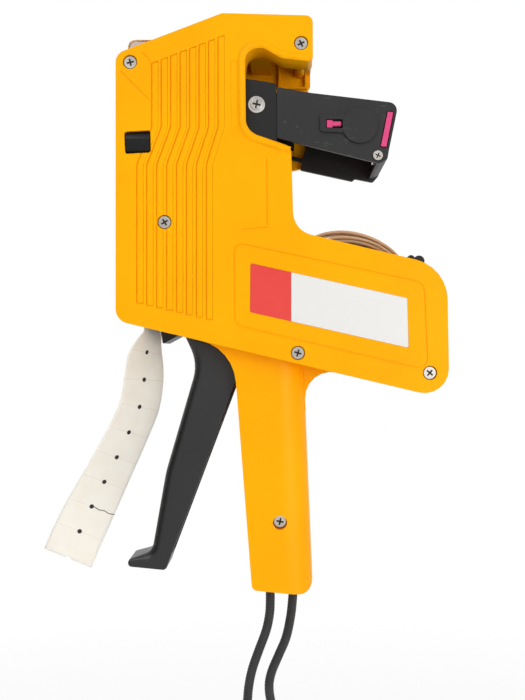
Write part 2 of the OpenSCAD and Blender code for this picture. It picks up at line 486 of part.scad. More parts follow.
/* Print arm and head */
arm_outline = [[-24, 169.4, 2], [-3.6, 166.3, 1.6], [-3.4, 141, 2], [arm_c[0] + 3.4, arm_c[1] - 3.4, 3.3], [arm_c[0] - 3.6, arm_c[1] - 3.4, 3.3], [-24, 141, 3]];
module print_arm() color([0.11, 0.11, 0.12]) difference() {
    union() {
        both() plate(rounded(arm_outline), -head_y, -head_y + plate_t + 0.4);
        rod(arm_c, pin_r + 1.3, -head_y, head_y);
        // Tail for the pull rod
        let (d = unit(tail_p - arm_c), k = [-d[1], d[0]] * 3) plate([arm_c + k, tail_p + k + d * 2.6, tail_p - k + d * 2.6, arm_c - k], head_y - plate_t - 0.4, head_y);
        rod(tail_p, 1.5, rod_y - 0.6, head_y - 1);
        // Cross bar behind the head
        both() block(-22.5, -18.5, -head_y + 0.5, -label_w / 2 - 1.5, 143, 147);
    }
    rod(arm_c, pin_r + run, -40, 40);
    translate([-11.8, -40, 157.5]) rotate([-90, 0, 0]) cylinder(r = 1.55, h = 80);
}
module arm_pin() color([0.7, 0.7, 0.7]) rod(arm_c, pin_r, -inner + 0.7, inner - 0.7);

head_end = [[-3.4, 164.8, 0.4], [10.5, 162.4, 30], [47, 158.1, 3.5], [43, 138.6, 1], [42.4, 135, 1.5]];
head_outline = concat(head_end, [[39.2, 133.2, 1.5], [-3.2, 143.7, 0.4]]);
// The far plate hangs lower, with a small step, and is cut away beside the casing
far_outline = concat(head_end, [[39.8, 131.9, 1.5], [31.7, 133.5, 0.3], [30.4, 132.4, 0.5], [6.9, 137.5, 0.6], [9.2, 147.4, 1], [8.6, 149.8, 1], [-3.3, 150.6, 0.4]]);
bar_slot = [[42.2, 155], [45.2, 154.5], [42.2, 139.5], [39.2, 140]];
module head_frame() color([0.24, 0.24, 0.24]) difference() {
    union() {
        plate(rounded(head_outline), -head_y, -head_y + plate_t);
        plate(rounded(far_outline), head_y - plate_t, head_y);
        // Top and end of the case; its underside is open
        difference() {
            plate(rounded(head_outline), -head_y + 0.5, head_y - 0.5);
            plate(rounded(inset(head_outline, 1.6)), -head_y - 1, head_y + 1);
            block(-5, 2, -30, 30, 130, 170);
            block(34, 60, -bands * 1.35, bands * 1.35, 142, 156.4);
            block(-5, 38, -head_y + plate_t, head_y - plate_t, 130, 145.4);
        }
        // Tongues behind the arm, and cheeks out to the print nose
        both() plate(rounded([[-18, 164.2, 1], [4, 162.6, 0.5], [4, 146, 0.5], [-18, 149, 1]]), -head_y + plate_t + 0.6, -head_y + plate_t + 2.6);
        both() block(1, 4, -head_y + 1, -bands * 1.25 - 1, 149.2, 161.2);
        both() plate(rounded([[nose_bar[0] - 2.4, nose_bar[1] + 3.4, 2], [4, 159.4, 0.5], [4, 150.6, 0.5], [nose_bar[0] - 1, nose_bar[1] - 3, 2]]), -bands * 1.25 - 2, -bands * 1.25 - 0.5);
        rod(nose_bar, 2.4, -bands * 1.25 - 1, bands * 1.25 + 1);
        // Round cap and its keyhole tab
        rod(setting_c, 7.3, -head_y - 1.1, -head_y + 0.5);
        plate(rounded([[14.4, 153.6, 1.6], [28, 152.6, 0.4], [28, 145.6, 0.4], [14.4, 146.2, 1.6]]), -head_y - 0.9, -head_y + 0.5);
        // Bearing of the setting shaft
        rod(setting_c, 5, -head_y + 1, -bands * 1.25 - 1.4);
    }
    plate(bar_slot, -40, 40);
    // The window ends at the cap, and its slot runs on under it
    block(16.9, 23.8, -head_y - 2, -head_y + plate_t + 0.1, 147.6, 151.3);
    block(23.7, 25.6, -head_y - 0.5, -head_y + plate_t + 0.1, 147.6, 151.3);
    translate([setting_c[0], -head_y + 1.4, setting_c[1]]) rotate([-90, 0, 0]) cylinder(r = 2.5 + run, h = 80);
    translate([-11.8, -40, 157.5]) rotate([-90, 0, 0]) cylinder(r = 1.4, h = 80);
    rod([38.4, 136.4], 1.4, -40, 0);
}
module pan_screw(c, y, r, shank, len) difference() {
    union() { rod(c, r, y - 0.35, y); rod(c, r * 0.68, y - 0.85, y); rod(c, shank, y, y + len); }
    for (a = [0, 90]) translate([c[0], y - 1.2, c[1]]) rotate([0, a + 12, 0]) translate([-1.7, 0, -0.35]) cube([3.4, 0.9, 0.7]);
}
module bracket_screw() color([0.85, 0.84, 0.8]) pan_screw([-11.8, 157.5], -head_y, 3.5, 1.38, 4.6);
module head_screw() color([0.85, 0.84, 0.8]) difference() {
    union() { rod([38.4, 136.4], 2, -head_y - 0.8, -head_y); rod([38.4, 136.4], 1.38, -head_y - 0.2, -head_y + plate_t); }
    for (a = [25, 115]) translate([38.4, -head_y - 1, 136.4]) rotate([0, a, 0]) translate([-1.2, 0, -0.25]) cube([2.4, 0.8, 0.5]);
}
// Each band loops from its setting wheel to the print nose
function loop(a, ra, b, rb) = let (d = b - a, t = atan2(d[1], d[0]), o = acos((ra - rb) / norm(d)))
    concat([for (i = [0:12]) polar(a, ra, t + o + (360 - 2 * o) * i / 12)], [for (i = [0:8]) polar(b, rb, t - o + 2 * o * i / 8)]);
module print_bands() color([0.13, 0.13, 0.13]) for (i = [0:bands - 1]) let (y = (i - (bands - 1) / 2) * 2.5) {
    difference() {
        plate(loop(setting_c, 6.1, nose_bar, 3.45), y - band_w / 2, y + band_w / 2);
        plate(loop(setting_c, 5.25, nose_bar, 2.6), -30, 30);
    }
    // The type on the print face
    plate([for (s = [[3.2, -1.5], [3.8, -1.5], [3.8, 1.5], [3.2, 1.5]]) nose_bar - face_n * s[0] + [-face_n[1], face_n[0]] * s[1]], y - band_w * 0.35, y + band_w * 0.35);
}
module band_wheels() color([0.85, 0.85, 0.82]) for (i = [0:bands - 1]) let (y = (i - (bands - 1) / 2) * 2.5) ring(setting_c, 5.2, 2.5 + run, y - band_w / 2, y + band_w / 2);
module selector() color([0.2, 0.2, 0.2]) {
    rod(setting_c, 2.5, -head_y + 1.8, head_y + 2);
    difference() {
        rod(setting_c, 8, head_y + 2.2, head_y + 9);
        for (i = [0:19]) rod(polar(setting_c, 8.5, i * 18), 0.9, head_y + 3.2, head_y + 10);
    }
    rod(setting_c, 3.4, head_y + 0.6, head_y + 2.4);
}
bar_play = 0.4;
module selector_bar() color([0.9, 0.35, 0.55]) {
    plate(rounded(inset([for (p = bar_slot) concat(p, 0)], bar_play)), -head_y - 0.4, head_y + 1.8);
    difference() {
        plate(rounded([[setting_c[0] - 5, 153.4, 3], [44, 153.4, 1], [41.6, 142.5, 1], [setting_c[0] - 5, 143.6, 3]]), head_y + 0.7, head_y + 1.9);
        rod(setting_c, 3.4 + run, 0, 40);
    }
}
module lock_slide() color([0.9, 0.35, 0.55]) {
    block(17.3, 19.6, -head_y - 0.5, -head_y + plate_t + 0.2, 147.9, 151);
    block(19.4, 23.2, -head_y - 0.2, -head_y + plate_t + 0.2, 148.8, 150.5);
    block(16.4, 19.4, -head_y + plate_t + 0.1, -head_y + plate_t + 1, 146.8, 152.1);
}

/* Ink, guide and roll */
ink_c = print_p + web_n * 4.7 + web_d * 8.6;
module ink_holder() color([0.9, 0.9, 0.88]) {
    top = 177.5 + (ink_c[0] + 2 - front_x) * (top_z - 177.5) / (-25.8 - front_x) - wall - 0.8;
    difference() {
        union() {
            both() plate(rounded([[ink_c[0] + 0.6, top, 0.5], [ink_c[0] + 7, top, 0.5], [ink_c[0] + 2.6, ink_c[1] - 2.4, 2], [ink_c[0] - 2.4, ink_c[1] - 2.4, 2]]), -label_w / 2 - 2.2, -label_w / 2 - 0.7);
            block(ink_c[0] + 1, ink_c[0] + 6, -inner, inner, top - 2, top);
        }
        rod(ink_c, 1.2 + run, -40, 40);
    }
}
module ink_roller() color([0.1, 0.1, 0.25]) { rod(ink_c, 3.4, -label_w / 2 + 0.3, label_w / 2 - 0.3); rod(ink_c, 1.2, -label_w / 2 - 2.6, label_w / 2 + 2.6); }
module guide_roller() color([0.85, 0.85, 0.82]) ring(guide_c, guide_r, 1.5 + run, -label_w / 2 - 0.4, label_w / 2 + 0.4);
module guide_pin() color([0.7, 0.7, 0.7]) rod(guide_c, 1.5, -inner + 0.7, inner - 0.7);
// The roll is one spiral strip, a few loops for its many
roll_strip = 0.6;
roll_in = spool_d / 2 + 1.6 + roll_strip / 2;
// As many loops as leave a clear gap between them
roll_loops = floor((roll_r - roll_strip / 2 - roll_in) / (roll_strip + 0.42));
roll_path = [for (i = [0:roll_loops * 24]) polar(roll_c, roll_in + (roll_r - roll_strip / 2 - roll_in) * i / roll_loops / 24, 100 - i * 15)];
module label_roll() color([0.78, 0.67, 0.55]) plate(ribbon(roll_path, roll_strip), -label_w / 2, label_w / 2);
module roll_core() color([0.55, 0.4, 0.25]) ring(roll_c, spool_d / 2 + 1.5, spool_d / 2, -label_w / 2, label_w / 2);
module roll_spool() color([0.12, 0.12, 0.12]) { ring(roll_c, spool_d / 2, spool_d / 2 - 2, -label_w / 2, label_w / 2);
    rod(roll_c, spool_d / 2 - 1.5, -2, 2); rod(roll_c, 2.5, -inner + 0.8, inner - 0.8); rod(roll_c, 4.5, -label_w / 2 - 1, label_w / 2 + 1); }
module roll_brake() color([0.07, 0.07, 0.07]) difference() {
    union() {
        rod(brake_c, 2.6, -6.5, 6.5);
        plate(rounded([[brake_c[0] - 2.5, brake_c[1], 0], [52.8, 93.6, 0.5], [53.4, 95.6, 0.5], [59.2, 93.6, 1], [brake_c[0] + 2.2, brake_c[1], 0]]), -6, 6);
        // Two bumps for the thumb
        rod([54, 95.1], 1.6, -6, 6);
        rod([57.4, 94.1], 2.4, -6, 6);
    }
    rod(brake_c, 1.5 + run, -30, 30);
}
module brake_pin() color([0.7, 0.7, 0.7]) rod(brake_c, 1.5, -inner + 0.7, inner - 0.7);

/* Nameplate and cord */
module nameplate() {
    split = 2.6;
    color([0.9, 0.28, 0.27]) intersection() { plate(rounded(inset(sticker_outline, 0.1)), -half + 0.05, -half + 0.4); block(-40, split, -40, 0, 40, 120); }
    color([0.93, 0.93, 0.92]) intersection() { plate(rounded(inset(sticker_outline, 0.1)), -half + 0.05, -half + 0.4); block(split, 80, -40, 0, 40, 120); }
}
// The cord's route, from one hole round the loop to the other
cord_route = [[-6.5, -40], [-6.5, -46], [-6.4, -52], [-6.7, -58.5], [-8.2, -65.8], [-11.4, -74.5], [-14.2, -82.6], [-15.8, -90.5], [-16.5, -99], [-17.6, -110],
    [-20.4, -124], [-24.2, -140], [-26.4, -155], [-25.4, -168], [-20.6, -178.6], [-12.4, -184.6], [-3, -184.8], [5, -179.4], [9.6, -169], [10.4, -156],
    [8, -141], [3.4, -125], [-1.8, -111], [-5.4, -99.5], [-6.9, -91], [-6, -84.4], [-2.8, -76.6], [0.4, -69], [2.3, -60.5], [3.2, -53], [3.6, -46], [3.6, -40]];
module cord_holes() for (e = [cord_route[0], cord_route[len(cord_route) - 1]]) translate([e[0], 0, foot_z - 8]) cylinder(r = cord_d / 2 + 0.3, h = 16);
module wrist_cord() color([0.12, 0.12, 0.12]) tube([for (p = cord_route) [p[0], 0, p[1]]], cord_d / 2, 10);
module cord_knot() color([0.12, 0.12, 0.12]) translate([-1.5, 0, -35.6]) { translate([-5, 0, 0]) sphere(r = 4.2); translate([5.1, 0, 0]) sphere(r = 4.2); rotate([0, 90, 0]) translate([0, 0, -5]) cylinder(r = 2.4, h = 10); }

echo(least_gap_mm = [["latch_spring", least_gap(latch_path, latch_wire, 7)], ["trigger_spring", least_gap(torsion_path, 0.35, 12)],
    ["label_roll", least_gap(roll_path, roll_strip / 2, 12)], ["wrist_cord", least_gap(cord_route, cord_d / 2, 4)],
    ["label_web", least_gap(web_path, web_t / 2, 20)]]);

left_casing();
right_casing();
casing_screws();
front_cover();
hinge_pin();
cover_latch();
latch_spring();
nose_guide();
trigger();
trigger_sector();
trigger_pin();
trigger_spring();
pull_rod();
feed_shaft();
feed_pinion();
feed_wheel();
feed_pawl();
pawl_pin();
print_arm();
arm_pin();
head_frame();
head_screw();
bracket_screw();
print_bands();
band_wheels();
selector();
selector_bar();
lock_slide();
platen();
ink_holder();
ink_roller();
guide_roller();
guide_pin();
label_roll();
roll_core();
roll_spool();
roll_brake();
brake_pin();
label_web();
backing_strip();
strip_guide();
nameplate();
wrist_cord();
cord_knot();
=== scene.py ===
"""Looks of a hand-held price labeller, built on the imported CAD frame.

The scene is in metres, X to the roll, Y to the far side, Z up. Sizes of the part are in millimetres, times MM.
"""

import bpy
import numpy as np
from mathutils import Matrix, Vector


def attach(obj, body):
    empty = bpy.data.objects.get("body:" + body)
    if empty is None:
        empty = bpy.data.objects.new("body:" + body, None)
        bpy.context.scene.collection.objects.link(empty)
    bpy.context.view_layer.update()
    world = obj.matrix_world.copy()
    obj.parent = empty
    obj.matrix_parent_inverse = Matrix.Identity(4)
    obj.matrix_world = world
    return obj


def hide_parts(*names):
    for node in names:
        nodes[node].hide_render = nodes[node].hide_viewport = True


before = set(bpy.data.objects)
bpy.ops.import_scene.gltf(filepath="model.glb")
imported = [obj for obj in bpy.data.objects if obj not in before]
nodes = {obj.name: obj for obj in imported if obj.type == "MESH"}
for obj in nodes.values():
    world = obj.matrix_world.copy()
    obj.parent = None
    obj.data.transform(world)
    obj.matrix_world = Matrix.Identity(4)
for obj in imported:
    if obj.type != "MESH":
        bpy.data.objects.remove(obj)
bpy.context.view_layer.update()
MM = 0.001
TAU = 2 * np.pi


# Meshes from arrays


def mesh_piece(name, points, quads, uv=None):
    """An object at the origin from an (n, 3) array of points in metres, an (m, 4) array of quads
    and a UV for each point."""
    mesh = bpy.data.meshes.new(name)
    quads = np.asarray(quads, dtype=np.int32)
    mesh.from_pydata(np.asarray(points, dtype=float).tolist(), [], quads.tolist())
    if uv is not None:
        layer = mesh.uv_layers.new(name="along")
        layer.data.foreach_set("uv", np.asarray(uv, dtype=np.float32)[quads.ravel()].ravel())
    mesh.polygons.foreach_set("use_smooth", np.ones(len(mesh.polygons), dtype=bool))
    mesh.update()
    piece = bpy.data.objects.new(name, mesh)
    bpy.context.scene.collection.objects.link(piece)
    return piece


def grid_quads(rows, cols, wrap=False):
    """Quads between the points of a rows x cols grid; wrap joins the last column to the first."""
    c = np.arange(cols if wrap else cols - 1)
    r = np.arange(rows - 1)[:, None]
    d = (c + 1) % cols
    corners = [r * cols + c, r * cols + d, (r + 1) * cols + d, (r + 1) * cols + c]
    return np.stack(corners, axis=-1).reshape(-1, 4)


def unit(v):
    """Each row of an array at length 1."""
    return v / np.linalg.norm(v, axis=-1, keepdims=True)


SPLINE_STEPS = 40


def spline(points, count):
    """Catmull-Rom curve through an (n, d) array of points, sampled evenly by length at count places."""
    p = np.asarray(points, dtype=float)
    p = np.vstack([2 * p[0] - p[1], p, 2 * p[-1] - p[-2]])
    t = np.linspace(0, 1, SPLINE_STEPS, endpoint=False)[None, :, None]
    a, b, c, d = (p[i:len(p) - 3 + i][:, None, :] for i in range(4))
    square, cube = 2 * a - 5 * b + 4 * c - d, 3 * b - a - 3 * c + d
    curve = 0.5 * (2 * b + (c - a) * t + square * t**2 + cube * t**3)
    curve = np.vstack([curve.reshape(-1, p.shape[1]), p[-2]])
    return evenly(curve, count)


def evenly(curve, count):
    """A polyline sampled at count places that are the same length apart."""
    s = np.concatenate([[0], np.cumsum(np.linalg.norm(np.diff(curve, axis=0), axis=1))])
    at = np.linspace(0, s[-1], count)
    return np.stack([np.interp(at, s, curve[:, k]) for k in range(curve.shape[1])], axis=1)


def length_of(curve):
    """The length of a polyline."""
    return float(np.linalg.norm(np.diff(curve, axis=0), axis=1).sum())


# Shared effects


def group(name, inputs, outputs):
    """An empty shader node group with float sockets; returns the tree with its input and output nodes."""
    tree = bpy.data.node_groups.new(name, "ShaderNodeTree")
    for label, value in inputs.items():
        socket = tree.interface.new_socket(label, in_out="INPUT", socket_type="NodeSocketFloat")
        socket.default_value = value
    for label in outputs:
        tree.interface.new_socket(label, in_out="OUTPUT", socket_type="NodeSocketFloat")
    return tree, tree.nodes.new("NodeGroupInput"), tree.nodes.new("NodeGroupOutput")


def maths(tree, kind, a, b=None):
    """A math node whose inputs are sockets or numbers; returns its output."""
    node = tree.nodes.new("ShaderNodeMath")
    node.operation = kind
    for socket, value in zip(node.inputs, (a, b)):
        if isinstance(value, (int, float)):
            socket.default_value = value
        elif value is not None:
            tree.links.new(value, socket)
    return node.outputs[0]


def noise(tree, vector, scale, detail=2.0):
    """A noise texture's value; scale is a number or a socket."""
    node = tree.nodes.new("ShaderNodeTexNoise")
    node.inputs["Detail"].default_value = detail
    tree.links.new(vector, node.inputs["Vector"])
    if isinstance(scale, (int, float)):
        node.inputs["Scale"].default_value = scale
    else:
        tree.links.new(scale, node.inputs["Scale"])
    return node.outputs[0]


def make_moulded():
    """Moulded surface: a fine spark-eroded grain, and a broad drift of tone from flow and handling."""
    tree, start, end = group("moulded", {"Grain": 2600.0, "Drift": 28.0}, ("Height", "Tone"))
    coords = tree.nodes.new("ShaderNodeTexCoord").outputs["Object"]
    tree.links.new(noise(tree, coords, start.outputs["Grain"], 3.0), end.inputs["Height"])
    tree.links.new(noise(tree, coords, start.outputs["Drift"], 4.0), end.inputs["Tone"])
    return tree


FIBRE_TURNS, FIBRE_TILT, FIBRE_SQUEEZE = (0.4, 1.9), 0.3, 0.18


def make_fibres():
    """Paper: short fibres as stretched noise in two directions, and cloudy formation."""
    tree, start, end = group("fibres", {"Fibre": 900.0, "Cloud": 160.0}, ("Height", "Tone"))
    coords = tree.nodes.new("ShaderNodeTexCoord").outputs["Object"]
    total = None
    for turn in FIBRE_TURNS:
        place = tree.nodes.new("ShaderNodeMapping")
        place.inputs["Rotation"].default_value = (turn, FIBRE_TILT, turn)
        place.inputs["Scale"].default_value = (1, 1, FIBRE_SQUEEZE)
        tree.links.new(coords, place.inputs["Vector"])
        value = noise(tree, place.outputs[0], start.outputs["Fibre"], 2.0)
        total = value if total is None else maths(tree, "ADD", total, value)
    tree.links.new(maths(tree, "MULTIPLY", total, 1 / len(FIBRE_TURNS)), end.inputs["Height"])
    tree.links.new(noise(tree, coords, start.outputs["Cloud"], 5.0), end.inputs["Tone"])
    return tree


LINE_SQUEEZE, METAL_DRIFT = 0.06, 90.0


def make_drawn():
    """Drawn or ground metal: fine lines round or along the piece, from noise stretched along Y."""
    tree, start, end = group("drawn", {"Lines": 2200.0}, ("Height", "Tone"))
    coords = tree.nodes.new("ShaderNodeTexCoord").outputs["Object"]
    place = tree.nodes.new("ShaderNodeMapping")
    place.inputs["Scale"].default_value = (1, LINE_SQUEEZE, 1)
    tree.links.new(coords, place.inputs["Vector"])
    lines = noise(tree, place.outputs[0], start.outputs["Lines"], 2.0)
    tree.links.new(lines, end.inputs["Height"])
    tree.links.new(noise(tree, coords, METAL_DRIFT, 3.0), end.inputs["Tone"])
    return tree


NICK_TURNS, NICK_SQUEEZE = (0.7, 2.0), 3.5
NICK_FROM, WORN_FROM = 0.7, 0.54


def make_scuffs():
    """Handling marks: short nicks in two directions, kept to a few worn patches."""
    tree, start, end = group("scuffs", {"Length": 260.0, "Patch": 70.0}, ("Mask",))
    coords = tree.nodes.new("ShaderNodeTexCoord").outputs["Object"]
    total = None
    for turn in NICK_TURNS:
        place = tree.nodes.new("ShaderNodeMapping")
        place.inputs["Rotation"].default_value = (0, turn, 0)
        place.inputs["Scale"].default_value = (1, 1, NICK_SQUEEZE)
        tree.links.new(coords, place.inputs["Vector"])
        value = noise(tree, place.outputs[0], start.outputs["Length"], 1.0)
        line = maths(tree, "GREATER_THAN", value, NICK_FROM)
        total = line if total is None else maths(tree, "MAXIMUM", total, line)
    worn = maths(tree, "GREATER_THAN", noise(tree, coords, start.outputs["Patch"], 2.0), WORN_FROM)
    tree.links.new(maths(tree, "MULTIPLY", total, worn), end.inputs["Mask"])
    return tree


MOULDED = make_moulded()
FIBRES = make_fibres()
DRAWN = make_drawn()
SCUFFS = make_scuffs()


def srgb(*rgb):
    """A colour read as 0 to 255 on a screen, as linear light with alpha."""
    c = np.array(rgb) / 255
    return (*np.where(c <= 0.04045, c / 12.92, ((c + 0.055) / 1.055) ** 2.4).tolist(), 1.0)


TONE_ENDS = (0.3, 0.7)


def finish_of(name, low, high, rough, effect, depth, rough_swing=0.08, **sockets):
    """A material whose tone drifts between two colours, whose roughness swings with it, and whose bump is the
    effect's height, depth millimetres high. effect is (group tree, {input: value}); sockets are set on the
    Principled BSDF, with _ for a space."""
    mat = bpy.data.materials.new(name)
    mat.use_nodes = True
    tree = mat.node_tree
    shader = tree.nodes["Principled BSDF"]
    use = tree.nodes.new("ShaderNodeGroup")
    use.node_tree = effect[0]
    for label, value in effect[1].items():
        use.inputs[label].default_value = value
    ramp = tree.nodes.new("ShaderNodeValToRGB")
    for element, position, colour in zip(ramp.color_ramp.elements, TONE_ENDS, (low, high)):
        element.position, element.color = position, colour
    tree.links.new(use.outputs["Tone"], ramp.inputs[0])
    tree.links.new(ramp.outputs[0], shader.inputs["Base Color"])
    swing = maths(tree, "MULTIPLY_ADD", use.outputs["Tone"], rough_swing)
    swing.node.inputs[2].default_value = rough - rough_swing / 2
    tree.links.new(swing, shader.inputs["Roughness"])
    bump = tree.nodes.new("ShaderNodeBump")
    bump.inputs["Strength"].default_value = 1.0
    bump.inputs["Distance"].default_value = depth * MM
    tree.links.new(use.outputs["Height"], bump.inputs["Height"])
    tree.links.new(bump.outputs[0], shader.inputs["Normal"])
    for label, value in sockets.items():
        shader.inputs[label.replace("_", " ")].default_value = value
    return mat


yellow = finish_of("yellow_plastic", srgb(249, 168, 2), srgb(254, 176, 1), 0.36,
                   (MOULDED, {}), 0.012, Specular_IOR_Level=0.08)
charcoal = finish_of("charcoal_plastic", srgb(31, 31, 32), srgb(38, 38, 39), 0.5,
                     (MOULDED, {"Grain": 1700.0}), 0.03, Specular_IOR_Level=0.3)
lever_black = finish_of("trigger_plastic", srgb(26, 26, 27), srgb(35, 35, 36), 0.36,
                        (MOULDED, {"Grain": 1500.0}), 0.06, Specular_IOR_Level=0.42)
black = finish_of("black_plastic", srgb(12, 11, 11), srgb(18, 17, 17), 0.44,
                  (MOULDED, {"Grain": 1900.0}), 0.02, Specular_IOR_Level=0.3)
gloss_black = finish_of("gloss_black", srgb(13, 13, 14), srgb(19, 19, 20), 0.16,
                        (MOULDED, {"Grain": 700.0}), 0.002, 0.04, Specular_IOR_Level=0.22)
nylon = finish_of("white_nylon", srgb(222, 219, 210), srgb(232, 229, 222), 0.4, (MOULDED, {}), 0.012)
pink = finish_of("pink_plastic", srgb(214, 66, 122), srgb(224, 80, 134), 0.3,
                 (MOULDED, {}), 0.008, Specular_IOR_Level=0.25)
nose_grey = finish_of("nose_plastic", srgb(196, 190, 188), srgb(208, 203, 200), 0.45, (MOULDED, {}), 0.012)
steel = finish_of("ground_steel", srgb(176, 176, 174), srgb(198, 198, 195), 0.3, (DRAWN, {}), 0.006, Metallic=1.0)
PLATED = (srgb(172, 169, 162), srgb(204, 201, 195), 0.24, (DRAWN, {"Lines": 3000.0}), 0.004)
nickel, screw_plate = (finish_of(name, *PLATED, Metallic=1.0) for name in ("nickel_plate", "screw_plate"))
rubber = finish_of("band_rubber", srgb(30, 30, 30), srgb(42, 41, 40), 0.7, (MOULDED, {"Grain": 3200.0}), 0.03)
felt = finish_of("ink_felt", srgb(20, 20, 44), srgb(34, 34, 66), 0.92, (FIBRES, {"Fibre": 1500.0}), 0.12)
kraft = finish_of("roll_paper", srgb(190, 158, 124), srgb(218, 192, 162), 0.78, (FIBRES, {}), 0.02)
board = finish_of("core_board", srgb(128, 98, 66), srgb(152, 120, 84), 0.85, (FIBRES, {"Fibre": 600.0}), 0.04)
red_film = finish_of("nameplate_film", srgb(222, 56, 50), srgb(228, 66, 58), 0.3,
                     (MOULDED, {"Grain": 1200.0}), 0.003)


# Camera and light


def aim(obj, target):
    """Turns a lamp towards a point."""
    obj.rotation_euler = (Vector(target) - obj.location).to_track_quat("-Z", "Y").to_euler()


IMAGE_W, IMAGE_H = 525, 700
FOCAL_PX = 990
AXIS_PX = 285
SENSOR_MM = 24
CAMERA_AT = (0, -0.430, 0.056)
camera = bpy.data.objects.new("camera", bpy.data.cameras.new("camera"))
camera.location = CAMERA_AT
camera.rotation_euler = (np.pi / 2, 0, 0)
camera.data.sensor_fit = "VERTICAL"
camera.data.sensor_height = SENSOR_MM
camera.data.lens = SENSOR_MM * FOCAL_PX / IMAGE_H
camera.data.shift_x = (IMAGE_W / 2 - AXIS_PX) / IMAGE_H
camera.data.clip_start = 0.01
bpy.context.scene.collection.objects.link(camera)
bpy.context.scene.camera = camera
bpy.context.scene.view_settings.view_transform = "Standard"

# Place, target, size in metres and power in watts
LAMPS = {
    "key": ((-0.55, -0.75, 0.85), (0, 0, 0.08), 0.7, 3.9),
    "fill": ((0.6, -0.85, 0.25), (0, 0, 0.06), 0.8, 2.5),
    "low": ((0.5, -0.75, -0.02), (-0.06, 0, 0.06), 0.6, 2.1),
    "back": ((0.3, 0.8, 0.7), (0, 0, 0.08), 0.8, 5.0),
}
for label, (place, target, size, power) in LAMPS.items():
    lamp = bpy.data.objects.new(label, bpy.data.lights.new(label, "AREA"))
    lamp.location = place
    lamp.data.shape, lamp.data.size, lamp.data.energy = "DISK", size, power
    aim(lamp, target)
    bpy.context.scene.collection.objects.link(lamp)


def seen_directly(tree):
    """1 for rays from the camera, mirrors and glass, 0 for light on the object."""
    path = tree.nodes.new("ShaderNodeLightPath")
    any_ray = maths(tree, "MAXIMUM", path.outputs["Is Camera Ray"], path.outputs["Is Glossy Ray"])
    return maths(tree, "MAXIMUM", any_ray, path.outputs["Is Transmission Ray"])


SCREEN_EDGE = (0.56, 0.8)


def left_screen(tree, level):
    """A dark screen at the left of the studio, seen in mirrors alone: the sky's level falls for glossy rays
    that run towards -X, between the two cosines of SCREEN_EDGE."""
    split = tree.nodes.new("ShaderNodeSeparateXYZ")
    tree.links.new(tree.nodes.new("ShaderNodeNewGeometry").outputs["Incoming"], split.inputs[0])
    edge = tree.nodes.new("ShaderNodeMapRange")
    edge.interpolation_type = "SMOOTHSTEP"
    for socket, value in zip(("From Min", "From Max", "To Min", "To Max"), (*SCREEN_EDGE, 0.0, 1.0)):
        edge.inputs[socket].default_value = value
    tree.links.new(split.outputs["X"], edge.inputs["Value"])
    glossy = tree.nodes.new("ShaderNodeLightPath").outputs["Is Glossy Ray"]
    held_back = maths(tree, "MULTIPLY", glossy, edge.outputs[0])
    return maths(tree, "MULTIPLY", level, maths(tree, "SUBTRACT", 1.0, held_back))


SKY = 0.46
world = bpy.data.worlds.new("studio")
world.use_nodes = True
bpy.context.scene.world = world
sky = world.node_tree.nodes["Background"]
sky.inputs["Color"].default_value = (1, 1, 1, 1)
level = maths(world.node_tree, "MULTIPLY_ADD", seen_directly(world.node_tree), 1 - SKY)
level.node.inputs[2].default_value = SKY
world.node_tree.links.new(left_screen(world.node_tree, level), sky.inputs["Strength"])

FLOOR_Z = -0.192
FLOOR_R = 1.2
FLOOR_RINGS, FLOOR_SPOKES = 13, 48
FADE_R = 0.5
FLOOR_SHARE = 0.55
FLOOR_COLOUR = (0.93, 0.93, 0.93, 1)


def floor_paper():
    """Pale paper that takes the object's shadow below it and turns into the white of the studio FADE_R away."""
    mat = bpy.data.materials.new("floor_paper")
    mat.use_nodes = True
    tree = mat.node_tree
    tree.nodes.remove(tree.nodes["Principled BSDF"])
    matt = tree.nodes.new("ShaderNodeBsdfDiffuse")
    matt.inputs["Color"].default_value = FLOOR_COLOUR
    glow = tree.nodes.new("ShaderNodeEmission")
    blend_in = tree.nodes.new("ShaderNodeMixShader")
    ball = tree.nodes.new("ShaderNodeTexGradient")
    ball.gradient_type = "SPHERICAL"
    place = tree.nodes.new("ShaderNodeMapping")
    place.inputs["Location"].default_value = (0, 0, -FLOOR_Z / FADE_R)
    place.inputs["Scale"].default_value = (1 / FADE_R,) * 3
    tree.links.new(tree.nodes.new("ShaderNodeTexCoord").outputs["Object"], place.inputs["Vector"])
    tree.links.new(place.outputs[0], ball.inputs[0])
    fade = maths(tree, "SUBTRACT", 1.0, maths(tree, "MULTIPLY", ball.outputs["Fac"], FLOOR_SHARE))
    tree.links.new(maths(tree, "MULTIPLY", fade, seen_directly(tree)), blend_in.inputs[0])
    tree.links.new(matt.outputs[0], blend_in.inputs[1])
    tree.links.new(glow.outputs[0], blend_in.inputs[2])
    tree.links.new(blend_in.outputs[0], tree.nodes["Material Output"].inputs["Surface"])
    return mat


def disc(radius, z, rings, spokes):
    """Points and quads of a flat disc: rings of points from the middle out, the same number on each."""
    r = np.linspace(0, radius, rings)[:, None]
    a = np.linspace(0, TAU, spokes, endpoint=False)
    points = np.stack([r * np.cos(a), r * np.sin(a), np.full((rings, spokes), z)], axis=-1)
    return points.reshape(-1, 3), grid_quads(rings, spokes, True)


floor = mesh_piece("floor", *disc(FLOOR_R, FLOOR_Z, FLOOR_RINGS, FLOOR_SPOKES))
floor.data.materials.append(floor_paper())


# Wrist cord: one braided loop from the handle's foot and back, the CAD route in millimetres


